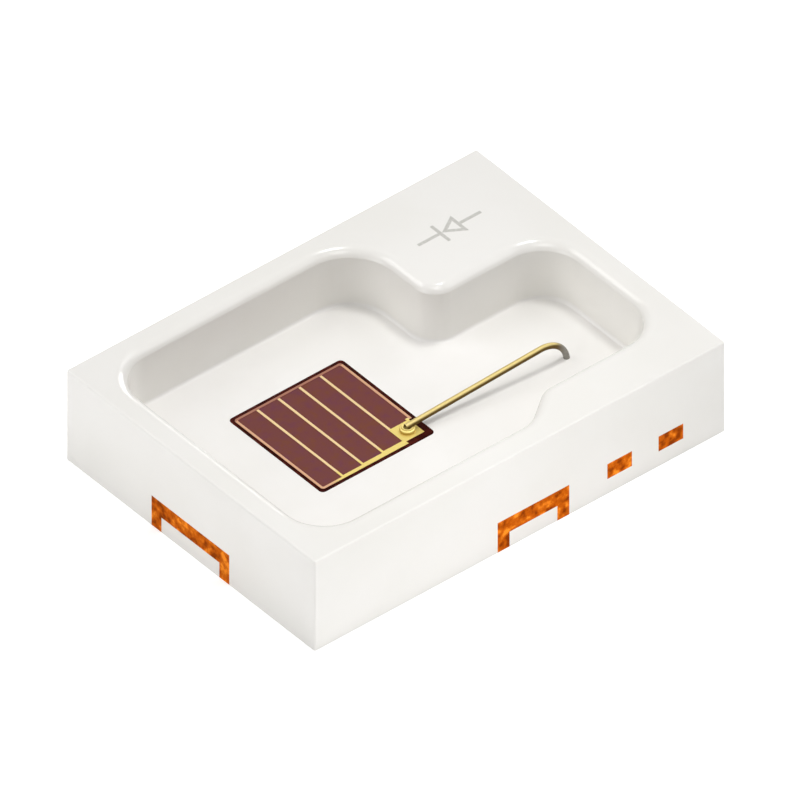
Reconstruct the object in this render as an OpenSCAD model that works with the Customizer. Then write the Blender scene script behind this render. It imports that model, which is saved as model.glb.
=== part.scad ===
// Surface-mount LED in a pre-moulded package: a white moulding with an open reflector cavity,
// a two-piece copper lead frame, a white cast floor, one thin light-emitting chip and one bond wire.
// Origin: centre of the underside. +X points to the wire bay, +Z is the way the light goes.
// The two faces at the ends of X are called west and east, those at the ends of Y south and north.

/* [Package] */
// Length of the package, west to east
package_l = 2.75; // [2.6:0.05:3.2]
// Width of the package, south to north
package_w = 2; // [1.9:0.05:2.4]
// Height of the package
package_h = 0.6; // [0.52:0.02:0.8]

/* [Cavity] */
// Rim between the west face and the chip bay
rim_west = 0.16; // [0.13:0.01:0.25]
// Rim between the north face and the chip bay
rim_north = 0.145; // [0.12:0.005:0.22]
// Rim between the east face and the wire bay
rim_east = 0.145; // [0.12:0.005:0.25]
// Rim between the south face and the chip bay
rim_south = 0.165; // [0.13:0.005:0.2]
// Length of the shelf in the north-east corner, measured from the east face
shelf_l = 0.925; // [0.85:0.005:1]
// Width of the shelf in the north-east corner, measured from the north face
shelf_w = 0.75; // [0.65:0.005:0.8]
// Length of the ledge along the south side of the wire bay, measured from the east face
ledge_l = 0.9; // [0.84:0.01:0.96]
// Width of the ledge along the south side of the wire bay, measured from the south face
ledge_w = 0.325; // [0.29:0.005:0.36]
// Radius of the hollow corners of the cavity, at its mouth
corner_r = 0.24; // [0.2:0.01:0.26]
// Radius of the hollow corner between the chip bay and the shelf, at the mouth
shelf_corner_r = 0.29; // [0.22:0.01:0.32]
// Radius of the two noses that stand into the cavity, at its mouth
nose_r = 0.13; // [0.1:0.01:0.16]
// Radius of the rounded lip around the mouth
lip_r = 0.075; // [0.05:0.005:0.09]
// Angle through which the lip turns before it meets the wall, in degrees
lip_angle = 65; // [50:1:80]
// Slope of the cavity wall from the vertical, in degrees
wall_draft = 4.5; // [3:0.5:8]

/* [Floor casting] */
// Height by which the chip's carrier stands out of the white floor
chip_stand = 0.002; // [0.002:0.001:0.02]
// Radius where the floor casting climbs the cavity wall
meniscus_r = 0.02; // [0.01:0.005:0.06]

/* [Lead frame] */
// Thickness of the lead frame
lead_t = 0.2; // [0.18:0.005:0.21]
// Thickness that the etching from below leaves on bars and ledges
etched_t = 0.1; // [0.06:0.005:0.12]
// Moulding between the package faces and the lead plates
lead_margin = 0.2; // [0.16:0.01:0.24]
// Etched ledge around each solder pad that locks the lead in the moulding
lock_ledge = 0.1; // [0.06:0.01:0.14]
// East edge of the die lead, from the package centre
die_lead_edge = 0.33; // [0.28:0.01:0.36]
// Gap between the two leads
lead_gap = 0.255; // [0.2:0.005:0.3]
// Corner radius of the lead plates
plate_r = 0.06; // [0.03:0.005:0.08]
// Width of the tie bar at the west and east faces
end_tie_w = 0.625; // [0.5:0.025:0.75]
// Width of the tie bar at the south and north faces
side_tie_w = 0.48; // [0.4:0.02:0.6]
// Width of each foot under the ends of a tie bar
tie_foot_w = 0.08; // [0.05:0.005:0.12]
// Length of each foot, inwards from the package face
tie_foot_l = 0.1; // [0.06:0.005:0.14]
// Width of the plain bars of the wire lead
plain_bar_w = 0.165; // [0.12:0.005:0.2]
// Distance between the centres of the plain bars of one face
plain_bar_pitch = 0.343; // [0.28:0.001:0.38]

/* [Chip] */
// Side of the square chip
chip_side = 0.76; // [0.6:0.005:0.8]
// Chip centre, east of the package centre
chip_x = -0.359; // [-0.4:0.001:-0.33]
// Chip centre, north of the package centre
chip_y = 0.083; // [0.03:0.001:0.1]
// Thickness of the metal layer under the chip
attach_t = 0.01; // [0.006:0.001:0.012]
// Distance from the chip's edge to the edge of that layer
attach_margin = 0.012; // [0.005:0.001:0.03]
// Thickness of the chip's carrier
carrier_t = 0.055; // [0.05:0.001:0.07]
// Thickness of the light-emitting layer
emitter_t = 0.003; // [0.003:0.001:0.012]
// Dark border of the carrier around the light-emitting layer, on the average
chip_border = 0.021; // [0.01:0.001:0.03]
// Distance by which the saw missed the middle of the light-emitting layer, north and east
saw_miss = 0.004; // [0:0.001:0.004]
// Corner radius of the chip
chip_corner_r = 0.026; // [0.01:0.001:0.03]
// Corner radius of the light-emitting layer and of the contact ring on it
emitter_corner_r = 0.018; // [0.01:0.001:0.025]

/* [Contact grid] */
// Thickness of the contact metal
contact_t = 0.002; // [0.002:0.001:0.006]
// Width of the contact lines
line_w = 0.014; // [0.01:0.001:0.02]
// Number of fingers across the light-emitting layer
finger_count = 4; // [2:1:5]
// Length of the bond pad, west to east
pad_l = 0.122; // [0.11:0.002:0.14]
// Width of the bond pad, south to north
pad_w = 0.126; // [0.105:0.001:0.13]
// Distance of the bond pad from the south and east edges of the light-emitting layer
pad_inset = 0.02; // [0.01:0.001:0.03]
// Width that the collecting bar gains at each finger
bar_step = 0.007; // [0.004:0.001:0.012]

/* [Bond wire] */
// Diameter of the wire
wire_d = 0.034; // [0.02:0.001:0.04]
// Diameter of the ball on the lead and of the bump on the chip
ball_d = 0.085; // [0.07:0.001:0.095]
// Height of the ball and of the bump
ball_h = 0.02; // [0.014:0.001:0.026]
// Landing of the wire on its lead, east of the package centre
landing_x = 0.93; // [0.9:0.005:0.98]
// Landing of the wire on its lead, north of the package centre
landing_y = -0.27; // [-0.34:0.005:-0.2]
// Height of the wire's axis at the top of its loop, above the lead frame
loop_h = 0.2; // [0.18:0.002:0.24]
// Radius of the wire's bend at the top of its loop
loop_r = 0.15; // [0.1:0.005:0.16]
// Slope of the wire where it drops to its ball, in degrees
drop_angle = 80; // [65:1:88]

/* [Hidden] */
$fn = 64;

// How far a cutting shape runs past the face that it opens
past = 0.02;

// Package faces and cavity walls, the walls at the height of the mouth
east = package_l / 2;
west = -east;
north = package_w / 2;
south = -north;
wall_west = west + rim_west;
wall_north = north - rim_north;
wall_east = east - rim_east;
wall_south = south + rim_south;
step_x = east - shelf_l;
shelf_y = north - shelf_w;
ledge_x = east - ledge_l;
ledge_y = south + ledge_w;

// The south side changes from the chip bay to the ledge by a hollow arc, a slope that rises
// three in a run of four, and a nose. The slope's length is rounded, and the nose follows from it
bend_angle = atan2(3, 4);
bend_sin = 0.6;
bend_cos = 0.8;
bend_rise = ledge_y - wall_south;
bend_l = snap((bend_rise - (1 - bend_cos) * (corner_r + nose_r)) / bend_sin);
bend_nose_r = (bend_rise - bend_sin * bend_l) / (1 - bend_cos) - corner_r;
bend_x = ledge_x - bend_sin * (corner_r + bend_nose_r) - bend_cos * bend_l;

// The wall strip that is swept round the cavity, and the core that fills the space inside it.
// Both are shares of the corner radius, and the core laps over the strip
strip_share = 0.75;
core_share = 0.7;
strip_w = strip_share * corner_r;
core_inset = core_share * corner_r;

// Lip arc from the top face to the sloping wall, which it meets at a crease
lip_start = lip_r * (sin(lip_angle) - (1 - cos(lip_angle)) * tan(wall_draft));
lip_centre = [lip_start, package_h - lip_r];
lip_end = lip_centre + lip_r * [-sin(lip_angle), cos(lip_angle)];

// Heights of the chip's layers
carrier_z = lead_t + attach_t;
emitter_z = carrier_z + carrier_t;
contact_z = emitter_z + emitter_t;
bump_z = contact_z + contact_t;
bump_top = bump_z + ball_h;

// Floor casting, and its arc against the sloping wall
floor_z = emitter_z - chip_stand;
meniscus_z = floor_z + meniscus_r;
meniscus_n = wall_n(meniscus_z) - meniscus_r / cos(wall_draft);
meniscus_end = [meniscus_n, meniscus_z] + meniscus_r * [cos(wall_draft), -sin(wall_draft)];

// Centre of the light-emitting layer, its edges and those of the bond pad, from that centre
emitter_at = [chip_x - saw_miss, chip_y - saw_miss];
emitter_half = chip_side / 2 - chip_border;
pad_east = emitter_half - pad_inset;
pad_south = -pad_east;
pad_west = pad_east - pad_l;
pad_north = pad_south + pad_w;
finger_pitch = (2 * emitter_half - line_w) / (finger_count + 1);

// Plan of the lead plates
wire_lead_edge = die_lead_edge + lead_gap;
plain_bar_x = wire_lead_edge + plain_bar_w / 2;

// The wire lies in one upright plane: it leaves the bump, climbs in a straight line,
// bends over at the top of its loop and drops at a slope into the ball on the lead
bump_at = emitter_at + [pad_west + pad_east, pad_south + pad_north] / 2;
wire_plan = [landing_x, landing_y] - bump_at;
wire_span = norm(wire_plan);
wire_heading = atan2(wire_plan.y, wire_plan.x);
wire_r = wire_d / 2;
wire_start_z = bump_top + wire_r / 2;
loop_z = lead_t + loop_h - loop_r;
drop_z = lead_t + ball_h / 2;
loop_back = ((loop_z - drop_z) * cos(drop_angle) + loop_r) / sin(drop_angle);
drop_l = loop_back * cos(drop_angle) + (loop_z - drop_z) * sin(drop_angle);
loop_run = wire_span - loop_back;
loop_rise = loop_z - wire_start_z;
loop_reach = norm([loop_run, loop_rise]);
wire_climb = atan2(loop_rise, loop_run) + asin(loop_r / loop_reach);
climb_l = sqrt(loop_reach ^ 2 - loop_r ^ 2);

// Rounds a length to a tenth of a thousandth
function snap(length) = round(length * 1e4) / 1e4;

// Distance of the cavity wall from its line at the mouth, positive into the moulding
function wall_n(z) = -(package_h - z) * tan(wall_draft);

// One straight stretch of the cavity wall, with the moulding on its left
module wall_run(from, heading, length) {
    translate([from.x, from.y, 0])
        rotate([0, 0, heading])
            rotate([90, 0, 90])
                linear_extrude(length) children();
}

// One hollow corner of the cavity wall
module wall_corner(centre, r, from, sweep = 90) {
    translate([centre.x, centre.y, 0])
        rotate([0, 0, from])
            rotate_extrude(angle = sweep) translate([r, 0]) children();
}

// One rounded nose of the cavity wall
module wall_nose(centre, r, from, sweep = 90) {
    translate([centre.x, centre.y, 0])
        rotate([0, 0, from])
            rotate_extrude(angle = sweep) translate([r, 0]) mirror([1, 0]) children();
}

// A section swept once round the cavity, clockwise from the south end of the west wall
module round_the_wall() {
    r = corner_r;
    s = shelf_corner_r;
    wall_run([wall_west, wall_south + r], 90, wall_north - wall_south - 2 * r) children();
    wall_corner([wall_west + r, wall_north - r], r, 90) children();
    wall_run([wall_west + r, wall_north], 0, step_x - wall_west - r - s) children();
    wall_corner([step_x - s, wall_north - s], s, 0) children();
    wall_run([step_x, wall_north - s], -90, wall_north - s - shelf_y - nose_r) children();
    wall_nose([step_x + nose_r, shelf_y + nose_r], nose_r, 180) children();
    wall_run([step_x + nose_r, shelf_y], 0, wall_east - r - step_x - nose_r) children();
    wall_corner([wall_east - r, shelf_y - r], r, 0) children();
    wall_run([wall_east, shelf_y - r], -90, shelf_y - ledge_y - 2 * r) children();
    wall_corner([wall_east - r, ledge_y + r], r, -90) children();
    wall_run([wall_east - r, ledge_y], 180, wall_east - r - ledge_x) children();
    wall_nose([ledge_x, ledge_y - bend_nose_r], bend_nose_r, 90, bend_angle) children();
    wall_run(
        [ledge_x - bend_sin * bend_nose_r, ledge_y - (1 - bend_cos) * bend_nose_r],
        180 + bend_angle, bend_l
    ) children();
    wall_corner([bend_x, wall_south + r], r, -90, bend_angle) children();
    wall_run([bend_x, wall_south], 180, bend_x - wall_west - r) children();
    wall_corner([wall_west + r, wall_south + r], r, 180) children();
}

// Plan of the space inside the wall strip
module core_plan() {
    k = core_inset;
    polygon([
        [wall_west + k, wall_south + k], [bend_x, wall_south + k], [ledge_x, ledge_y + k],
        [wall_east - k, ledge_y + k], [wall_east - k, shelf_y - k], [step_x + nose_r, shelf_y - k],
        [step_x - k, shelf_y + nose_r], [step_x - k, wall_north - k], [wall_west + k, wall_north - k]
    ]);
}

// Section of the empty cavity at its wall: the sloping wall and the rounded lip
module cavity_section() {
    difference() {
        polygon([
            [-strip_w, lead_t], [wall_n(lead_t), lead_t], lip_end, lip_centre,
            [lip_centre.x, package_h + past], [-strip_w, package_h + past]
        ]);
        translate(lip_centre) circle(lip_r);
    }
}

// Section of the floor casting at the wall: it climbs the wall a little
module casting_section() {
    difference() {
        polygon([
            [-strip_w, lead_t], [wall_n(lead_t), lead_t], meniscus_end,
            [meniscus_n, meniscus_z], [meniscus_n, floor_z], [-strip_w, floor_z]
        ]);
        translate([meniscus_n, meniscus_z]) circle(meniscus_r);
    }
}

module cavity() {
    round_the_wall() cavity_section();
    translate([0, 0, lead_t]) linear_extrude(package_h + past - lead_t) core_plan();
}

// A plate with rounded corners between two opposite corners in plan
module plate(low, high, r) {
    arc_x = [low.x + r, high.x - r];
    arc_y = [low.y + r, high.y - r];
    translate([low.x, arc_y[0]]) square([high.x - low.x, arc_y[1] - arc_y[0]]);
    translate([arc_x[0], low.y]) square([arc_x[1] - arc_x[0], high.y - low.y]);
    for (x = arc_x, y = arc_y) translate([x, y]) circle(r);
}

// One lead: a plate whose underside is etched back to the solder pad
module lead_plate(x_low, x_high) {
    low = [x_low, south + lead_margin];
    high = [x_high, north - lead_margin];
    ledge = [lock_ledge, lock_ledge];
    translate([0, 0, etched_t]) linear_extrude(lead_t - etched_t) plate(low, high, plate_r);
    linear_extrude(etched_t) plate(low + ledge, high - ledge, plate_r);
}

// A bar of the lead frame that runs out to the east face along X, at half thickness
module tie_bar(width) {
    translate([east - lead_margin - plate_r, -width / 2, etched_t])
        cube([lead_margin + plate_r, width, lead_t - etched_t]);
}

// The same bar standing on two feet at the face
module footed_tie_bar(width) {
    tie_bar(width);
    for (y = [-width / 2, width / 2 - tie_foot_w])
        translate([east - tie_foot_l, y, 0]) cube([tie_foot_l, tie_foot_w, etched_t]);
}

// Turns a bar made for the east face to the south face or the north face, at a place along X
module on_long_face(x, side) {
    translate([x, side * (north - east), 0]) rotate([0, 0, side * 90]) children();
}

module die_lead() {
    color("chocolate") {
        lead_plate(west + lead_margin, die_lead_edge);
        rotate([0, 0, 180]) footed_tie_bar(end_tie_w);
        for (side = [-1, 1])
            on_long_face(die_lead_edge - side_tie_w / 2, side) footed_tie_bar(side_tie_w);
    }
}

module wire_lead() {
    color("peru") {
        lead_plate(wire_lead_edge, east - lead_margin);
        footed_tie_bar(end_tie_w);
        for (side = [-1, 1], i = [0, 1])
            on_long_face(plain_bar_x + i * plain_bar_pitch, side) tie_bar(plain_bar_w);
    }
}

module housing() {
    color("whitesmoke")
        difference() {
            translate([west, south, 0]) cube([package_l, package_w, package_h]);
            cavity();
            die_lead();
            wire_lead();
        }
}

// A layer under the light-emitting one: a square with rounded corners
module chip_layer(z, thickness, half, r) {
    translate([chip_x, chip_y, z])
        linear_extrude(thickness) plate([-half, -half], [half, half], r);
}

module die_attach() {
    color("dimgray") chip_layer(lead_t, attach_t, chip_side / 2 - attach_margin, chip_corner_r);
}

module chip_carrier() {
    color("#2b1212") chip_layer(carrier_z, carrier_t, chip_side / 2, chip_corner_r);
}

// The corner of the chip that the bond pad takes up
module pad_corner_plan() {
    reach = emitter_half + past;
    translate([pad_west, -reach]) square([reach - pad_west, reach + pad_north]);
}

module pad_plan() {
    translate([pad_west, pad_south]) square([pad_l, pad_w]);
}

// A square on the chip with rounded corners, a distance inwards from the emitting layer's edge
module emitter_square(inset, r) {
    half = emitter_half - inset;
    plate([-half, -half], [half, half], r);
}

module emitter_plan() {
    difference() {
        emitter_square(0, emitter_corner_r);
        pad_corner_plan();
    }
    pad_plan();
}

module emitter_layer() {
    color("#724345")
        translate([emitter_at.x, emitter_at.y, emitter_z]) linear_extrude(emitter_t) emitter_plan();
}

// Contact lines: a ring at the edge of the emitting layer, the fingers, a bar along the south
// edge that gets wider at each finger on its way to the bond pad, and a link from ring to pad
module contact_lines_plan() {
    difference() {
        emitter_square(0, emitter_corner_r);
        emitter_square(line_w, emitter_corner_r / 2);
    }
    for (i = [1 : finger_count]) {
        x = -emitter_half + i * finger_pitch;
        translate([x, -emitter_half]) square([line_w, 2 * emitter_half]);
        translate([x, -emitter_half]) square([pad_west - x + line_w, line_w + i * bar_step]);
    }
    translate([pad_east - line_w, pad_north]) square([emitter_half - pad_east + line_w, line_w]);
}

module contact_grid() {
    color("gold")
        translate([emitter_at.x, emitter_at.y, contact_z])
            linear_extrude(contact_t) {
                difference() {
                    contact_lines_plan();
                    pad_corner_plan();
                }
                pad_plan();
            }
}

// A flattened gold ball standing on z = 0
module flat_ball() {
    rotate_extrude() {
        square([(ball_d - ball_h) / 2, ball_h]);
        intersection() {
            translate([(ball_d - ball_h) / 2, ball_h / 2]) circle(ball_h / 2);
            translate([(ball_d - ball_h) / 2, 0]) square(ball_h);
        }
    }
}

module bond_bump() {
    color("gold") translate([bump_at.x, bump_at.y, bump_z]) flat_ball();
}

// Puts a shape at the wire's landing, with +X along the wire's span, away from the chip
module at_landing() {
    translate([landing_x, landing_y, 0]) rotate([0, 0, wire_heading]) children();
}

// Puts a shape at the centre of the wire's bend
module at_loop() {
    translate([-loop_back, 0, loop_z]) children();
}

// The ball on the lead and the sloping drop of the wire into it
module wire_foot() {
    translate([0, 0, lead_t]) flat_ball();
    at_loop()
        rotate([0, drop_angle - 90, 0])
            translate([loop_r, 0, -drop_l]) cylinder(h = drop_l, r = wire_r);
}

// The climbing stretch of the wire, with a round end over the bump, along +Z
module climbing_wire() {
    rotate_extrude() {
        square([wire_r, climb_l]);
        translate([0, climb_l])
            intersection() {
                circle(wire_r);
                square(wire_r);
            }
    }
}

// The wire above its drop: the bend at the top of the loop and the climbing stretch
module wire_loop() {
    at_loop()
        rotate([0, -wire_climb, 0]) {
            rotate([90, 0, 0])
                rotate([0, 0, 90 - drop_angle - wire_climb])
                    rotate_extrude(angle = drop_angle + wire_climb) translate([loop_r, 0]) circle(wire_r);
            translate([0, 0, loop_r]) rotate([0, -90, 0]) climbing_wire();
        }
}

// The space that the bump takes under the wire's end, which is pressed flat on it
module bump_space() {
    translate([-wire_span - ball_d, -ball_d, bump_top - ball_h]) cube([3 * ball_d, 2 * ball_d, ball_h]);
}

// The whole wire before its end is pressed flat, in its place
module wire_run() {
    at_landing() {
        wire_foot();
        wire_loop();
    }
}

module bond_wire() {
    color("goldenrod")
        difference() {
            wire_run();
            at_landing() bump_space();
        }
}

module floor_casting() {
    color("white")
        difference() {
            union() {
                round_the_wall() casting_section();
                translate([0, 0, lead_t]) linear_extrude(floor_z - lead_t) core_plan();
            }
            die_attach();
            chip_carrier();
            wire_run();
        }
}

housing();
die_lead();
wire_lead();
floor_casting();
die_attach();
chip_carrier();
emitter_layer();
contact_grid();
bond_bump();
bond_wire();
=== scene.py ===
"""Looks of a surface-mount LED: white package, copper leads, chip, bond wire and studio.

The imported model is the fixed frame. Sizes in the classes are in millimetres, and each mesh is
turned to metres as its object is made.
"""

import logging
import math
from collections.abc import Sequence
from dataclasses import dataclass, field
from enum import Enum
from functools import cached_property

import bmesh
import bpy
from bmesh.types import BMEdge, BMesh, BMFace, BMVert
from mathutils import Matrix, Vector


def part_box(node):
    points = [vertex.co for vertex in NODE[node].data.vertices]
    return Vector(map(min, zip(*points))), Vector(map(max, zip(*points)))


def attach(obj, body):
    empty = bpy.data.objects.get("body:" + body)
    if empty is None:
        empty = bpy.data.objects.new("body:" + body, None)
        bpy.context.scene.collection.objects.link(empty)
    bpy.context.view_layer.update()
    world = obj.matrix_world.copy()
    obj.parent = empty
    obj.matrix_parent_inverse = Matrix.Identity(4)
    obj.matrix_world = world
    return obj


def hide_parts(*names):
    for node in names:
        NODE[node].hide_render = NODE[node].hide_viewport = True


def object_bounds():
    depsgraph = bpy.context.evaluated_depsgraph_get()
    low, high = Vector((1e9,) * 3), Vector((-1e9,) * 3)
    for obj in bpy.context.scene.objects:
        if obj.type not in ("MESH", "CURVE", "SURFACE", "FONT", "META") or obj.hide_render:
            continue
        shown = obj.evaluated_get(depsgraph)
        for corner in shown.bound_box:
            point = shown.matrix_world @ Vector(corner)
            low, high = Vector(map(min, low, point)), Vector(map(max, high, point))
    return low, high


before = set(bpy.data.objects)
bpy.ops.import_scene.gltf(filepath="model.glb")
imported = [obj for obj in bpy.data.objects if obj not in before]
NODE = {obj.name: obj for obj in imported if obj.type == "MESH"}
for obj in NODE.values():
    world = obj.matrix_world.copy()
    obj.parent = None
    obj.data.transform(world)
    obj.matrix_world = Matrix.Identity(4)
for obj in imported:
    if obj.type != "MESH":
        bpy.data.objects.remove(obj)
cad_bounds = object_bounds()

log = logging.getLogger("led")

MM = 0.001
BODY = "root"

# Edges that bend more than the first angle are creases, and faces within the second one are flat.
CREASE = math.radians(40)
FLAT = math.radians(1)

# Points nearer than this are joined, in millimetres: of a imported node, a carved body, a drawn line.
NODE_WELD = 1e-5
CARVED_WELD = 1e-6
LINE_WELD = 1e-4

Colour = tuple[float, float, float]
Range = tuple[float, float]
Relief = tuple[float, float]  # Depth in millimetres, share that shows.
Socket = bpy.types.NodeSocket

# Most of a noise pattern lies between these values.
NOISE_RANGE: Range = (0.3, 0.7)


class Slot(Enum):
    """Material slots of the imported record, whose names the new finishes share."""

    MOULDING = "white_moulding"
    CASTING = "white_casting"
    CARRIER = "chip_carrier"
    EMITTER = "emitter"
    CONTACT = "contact_gold"
    WIRE = "wire_gold"


def linear(colour: Colour) -> tuple[float, float, float, float]:
    """Turns a screen colour of 0 to 255 into the linear colour of a shader socket.

    Args:
        colour: Red, green and blue as a picture shows them.

    Returns:
        Linear red, green, blue and an alpha of 1.
    """
    shares = [c / 255 for c in colour]
    red, green, blue = (s / 12.92 if s <= 0.04045 else ((s + 0.055) / 1.055) ** 2.4 for s in shares)
    return (red, green, blue, 1.0)


def node_box(name: str) -> tuple[Vector, Vector]:
    """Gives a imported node's box.

    Args:
        name: The node.

    Returns:
        Lowest and highest corner in millimetres.
    """
    low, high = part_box(name)
    return low / MM, high / MM


class Bench:
    """The node tree of a material or the world, with short ways to add nodes and join them."""

    # Numbers of the Mix node's colour sockets, which share their names with others.
    FIRST, SECOND, MIXED = 6, 7, 2

    def __init__(self, owner: bpy.types.Material | bpy.types.World) -> None:
        """Starts with an empty tree.

        Args:
            owner: The material or world.
        """
        self.owner = owner
        owner.use_nodes = True
        self.tree = owner.node_tree
        self.tree.nodes.clear()

    @classmethod
    def material(cls, name: str) -> "Bench":
        """Starts a new material."""
        return cls(bpy.data.materials.new(name))

    @cached_property
    def place(self) -> Socket:
        """Gives the place on the surface, in Object coordinates."""
        return self.add("ShaderNodeTexCoord").outputs["Object"]

    def add(self, kind: str, **settings: object) -> bpy.types.Node:
        """Adds a node.

        Args:
            kind: Blender's name of the node type.
            **settings: Properties of the node.

        Returns:
            The node.
        """
        node = self.tree.nodes.new(kind)
        for name, value in settings.items():
            setattr(node, name, value)
        return node

    def feed(self, node: bpy.types.Node, socket: str | int, value: object) -> None:
        """Links a socket to another node's output, or sets its constant.

        Args:
            node: The node that is fed.
            socket: Name or number of its input.
            value: An output socket, a number or a colour.
        """
        if isinstance(value, Socket):
            self.tree.links.new(value, node.inputs[socket])
        else:
            node.inputs[socket].default_value = value

    def math(self, operation: str, first: object, second: object = 0.0) -> Socket:
        """Adds a Math node.

        Args:
            operation: Blender's name of the operation.
            first: First value or socket.
            second: Second value or socket.

        Returns:
            The result.
        """
        node = self.add("ShaderNodeMath", operation=operation)
        self.feed(node, 0, first)
        self.feed(node, 1, second)
        return node.outputs["Value"]

    def split(self, vector: Socket) -> tuple[Socket, Socket, Socket]:
        """Splits a vector.

        Args:
            vector: The vector.

        Returns:
            Its X, Y and Z.
        """
        node = self.add("ShaderNodeSeparateXYZ")
        self.feed(node, "Vector", vector)
        return node.outputs["X"], node.outputs["Y"], node.outputs["Z"]

    def noise(self, size: float, detail: float = 3, stretch: Sequence[float] = (1, 1, 1)) -> Socket:
        """Adds a noise pattern.

        Args:
            size: Size of its spots in millimetres.
            detail: Octaves of finer spots.
            stretch: How much longer the spots are along X, Y and Z.

        Returns:
            A value about 0.5.
        """
        mapping = self.add("ShaderNodeMapping")
        self.feed(mapping, "Vector", self.place)
        self.feed(mapping, "Scale", [1 / (size * MM * s) for s in stretch])
        node = self.add("ShaderNodeTexNoise")
        self.feed(node, "Vector", mapping.outputs["Vector"])
        self.feed(node, "Scale", 1.0)
        self.feed(node, "Detail", detail)
        return node.outputs["Fac"]

    def between(
        self, value: Socket, low: float, high: float, to_low: float = 0.0, to_high: float = 1.0
    ) -> Socket | float:
        """Maps a range of values smoothly onto another, and holds its ends.

        Args:
            value: The value.
            low: Start of its range, which may be the higher end.
            high: End of its range.
            to_low: Result at the start.
            to_high: Result at the end.

        Returns:
            The mapped value, or a constant if both results are the same.
        """
        if to_low == to_high:
            return to_low
        node = self.add("ShaderNodeMapRange", interpolation_type="SMOOTHSTEP")
        self.feed(node, "Value", value)
        ends = {"From Min": low, "From Max": high, "To Min": to_low, "To Max": to_high}
        for name, end in ends.items():
            self.feed(node, name, end)
        return node.outputs["Result"]

    def mix(self, share: Socket, first: Colour | Socket, second: Colour | Socket) -> Socket:
        """Mixes two colours.

        Args:
            share: How much of the second colour.
            first: First screen colour or socket.
            second: Second screen colour or socket.

        Returns:
            The mixed colour.
        """
        node = self.add("ShaderNodeMix", data_type="RGBA")
        self.feed(node, "Factor", share)
        for socket, colour in ((self.FIRST, first), (self.SECOND, second)):
            self.feed(node, socket, colour if isinstance(colour, Socket) else linear(colour))
        return node.outputs[self.MIXED]

    def bump(self, height: Socket, depth: float, strength: float) -> Socket:
        """Adds relief.

        Args:
            height: Height pattern from 0 to 1.
            depth: Depth of the relief in millimetres.
            strength: Share of the relief that shows.

        Returns:
            The changed normal.
        """
        node = self.add("ShaderNodeBump")
        self.feed(node, "Strength", strength)
        self.feed(node, "Distance", depth * MM)
        self.feed(node, "Height", height)
        return node.outputs["Normal"]

    def end(self, surface: Socket, kind: str = "Material") -> None:
        """Ends the tree of a Material or a World with what it shows."""
        self.feed(self.add("ShaderNodeOutput" + kind), "Surface", surface)

    def shade(self, **sockets: object) -> bpy.types.Material:
        """Ends the tree with a Principled shader.

        Args:
            **sockets: Inputs of the shader, with _ for a space in their names.

        Returns:
            The material.
        """
        shader = self.add("ShaderNodeBsdfPrincipled")
        for name, value in sockets.items():
            self.feed(shader, name.replace("_", " "), value)
        self.end(shader.outputs["BSDF"])
        return self.owner


@dataclass(frozen=True)
class CloudedFinish:
    """A finish that drifts between two colours in soft clouds and has a fine grain."""

    name: str
    colour: Colour
    cloud: Colour
    cloud_size: float
    cloud_range: Range
    roughness: Range
    grain: float
    relief: Relief
    gloss: float = 0.5

    def pattern(self, bench: Bench) -> Socket:
        """Gives the height pattern of the grain."""
        return bench.noise(self.grain)

    def build(self) -> bpy.types.Material:
        """Makes the material.

        Returns:
            The material.
        """
        bench = Bench.material(self.name)
        cloud = bench.between(bench.noise(self.cloud_size), *self.cloud_range)
        return bench.shade(
            Base_Color=bench.mix(cloud, self.colour, self.cloud),
            Roughness=bench.between(cloud, 0, 1, *self.roughness),
            Specular_IOR_Level=self.gloss,
            Normal=bench.bump(self.pattern(bench), *self.relief),
        )


@dataclass(frozen=True)
class MouldedWhite(CloudedFinish):
    """Satin white moulding compound: moulded inside and on top, sawn on its four sides."""

    name: str = "white_moulding"
    colour: Colour = (241, 239, 235)
    cloud: Colour = (238, 236, 231)
    cloud_size: float = 0.7
    cloud_range: Range = (0.35, 0.7)
    roughness: Range = (0.16, 0.2)
    grain: float = 0.012
    relief: Relief = (0.0002, 0.5)
    saw_line: float = 0.007
    saw_stretch: Sequence[float] = (24, 24, 1)
    side_skin: float = 0.0005

    def pattern(self, bench: Bench) -> Socket:
        """Adds saw lines to the grain of the four sides.

        Args:
            bench: The material's nodes.

        Returns:
            The height pattern.
        """
        _, high = node_box("housing")
        x, y, _ = bench.split(bench.place)
        past_x = bench.math("GREATER_THAN", bench.math("ABSOLUTE", x), (high.x - self.side_skin) * MM)
        past_y = bench.math("GREATER_THAN", bench.math("ABSOLUTE", y), (high.y - self.side_skin) * MM)
        lines = bench.noise(self.saw_line, 2, self.saw_stretch)
        sawn = bench.math("MULTIPLY", lines, bench.math("MAXIMUM", past_x, past_y))
        return bench.math("ADD", sawn, bench.noise(self.grain))


@dataclass(frozen=True)
class CastWhite(CloudedFinish):
    """White silicone of the floor: a little lighter than the moulding, and a little duller."""

    name: str = "white_casting"
    colour: Colour = (242, 240, 237)
    cloud: Colour = (239, 237, 233)
    cloud_size: float = 0.45
    cloud_range: Range = (0.35, 0.7)
    roughness: Range = (0.22, 0.26)
    grain: float = 0.02
    relief: Relief = (0.0002, 0.3)


@dataclass(frozen=True)
class MarkGrey(CloudedFinish):
    """Grey that a laser leaves on the moulding."""

    name: str = "laser_mark"
    colour: Colour = (190, 188, 182)
    cloud: Colour = (204, 202, 197)
    cloud_size: float = 0.012
    cloud_range: Range = (0.4, 0.65)
    roughness: Range = (0.6, 0.6)
    grain: float = 0.012
    relief: Relief = (0.001, 0.5)


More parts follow.
